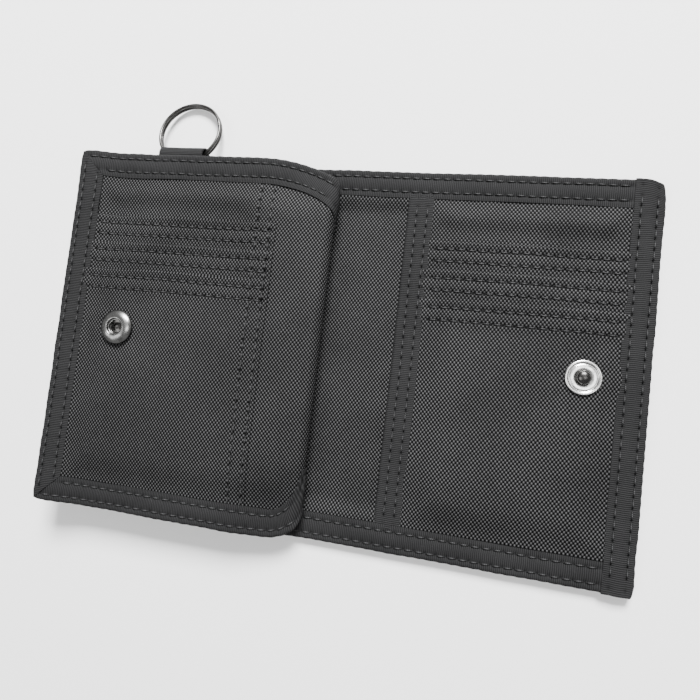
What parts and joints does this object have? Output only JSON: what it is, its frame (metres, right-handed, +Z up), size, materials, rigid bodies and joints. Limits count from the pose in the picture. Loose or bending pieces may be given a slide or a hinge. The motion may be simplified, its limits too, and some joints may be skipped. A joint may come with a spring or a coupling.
{
  "type": "bifold wallet",
  "caption": "Open bifold wallet in ballistic nylon with grosgrain bindings, card slots, a bound pouch leaf, a note pocket, an inside snap and a split ring in a tape loop.",
  "frame": {"origin": "middle of the wallet's underside, under the spine, on the face it rests on", "axes": "+X across the open wallet to the edge with the snap stud, +Y up its height to the edge with the ring, +Z up from the table to the inside of the wallet"},
  "size_m": [0.2034, 0.154, 0.0147],
  "materials": {
    "ballistic_nylon": "coarse plain-woven ballistic nylon, satin",
    "grosgrain_tape": "cross-ribbed grosgrain tape, two rows of lock stitch",
    "lining_nylon": "smooth nylon lining",
    "nickel": "pressed brass, nickel plated, lightly worn",
    "dark_nickel": "black nickel plated spring wire"
  },
  "bodies": {
    "left_cover": {"left_outer_shell": "ballistic_nylon", "left_lining": "lining_nylon", "left_binding_top": "grosgrain_tape", "left_binding_bottom": "grosgrain_tape", "left_binding_side": "grosgrain_tape", "ring_loop": "grosgrain_tape"},
    "leaf": {"leaf_wrap": "ballistic_nylon", "leaf_lining_bag": "lining_nylon", "leaf_gusset": "ballistic_nylon", "leaf_card_slot_1": "ballistic_nylon", "leaf_card_slot_2": "ballistic_nylon", "leaf_front_pocket": "ballistic_nylon", "leaf_binding_top": "grosgrain_tape", "leaf_binding_bottom": "grosgrain_tape", "leaf_binding_side": "grosgrain_tape", "snap_socket": "nickel", "snap_socket_spring": "dark_nickel", "snap_socket_post": "nickel"},
    "spine": {"spine_shell": "ballistic_nylon", "spine_lining": "ballistic_nylon", "spine_binding_top": "grosgrain_tape", "spine_binding_bottom": "grosgrain_tape"},
    "right_cover": {"right_outer_shell": "ballistic_nylon", "right_lining": "ballistic_nylon", "right_pocket_panel": "ballistic_nylon", "right_mouth_tape": "grosgrain_tape", "right_card_slot_1": "ballistic_nylon", "right_card_slot_2": "ballistic_nylon", "right_front_pocket": "ballistic_nylon", "right_binding_top": "grosgrain_tape", "right_binding_bottom": "grosgrain_tape", "right_binding_side": "grosgrain_tape", "snap_stud": "nickel", "snap_stud_post": "nickel"},
    "ring": {"split_ring": "dark_nickel"}
  },
  "joints": [
    {"name": "leaf_lift", "type": "hinge", "parent": "left_cover", "child": "leaf", "pos_m": [-0.1012, 0, 0.0033], "axis": [0, 1, 0], "range_deg": [-95, 0]},
    {"name": "spine_fold", "type": "hinge", "parent": "left_cover", "child": "spine", "pos_m": [-0.0048, 0, 0.0032], "axis": [0, -1, 0], "range_deg": [0, 90]},
    {"name": "cover_fold", "type": "hinge", "parent": "spine", "child": "right_cover", "pos_m": [0.0088, 0, 0.0032], "axis": [0, -1, 0], "range_deg": [0, 90]},
    {"name": "ring_swing", "type": "hinge", "parent": "left_cover", "child": "ring", "pos_m": [-0.0647, 0.0665, 0.0052], "axis": [1, 0, 0], "range_deg": [0, 98]}
  ],
  "couplings": [
    {"joint": "cover_fold", "follows": "spine_fold", "ratio": 1}
  ]
}
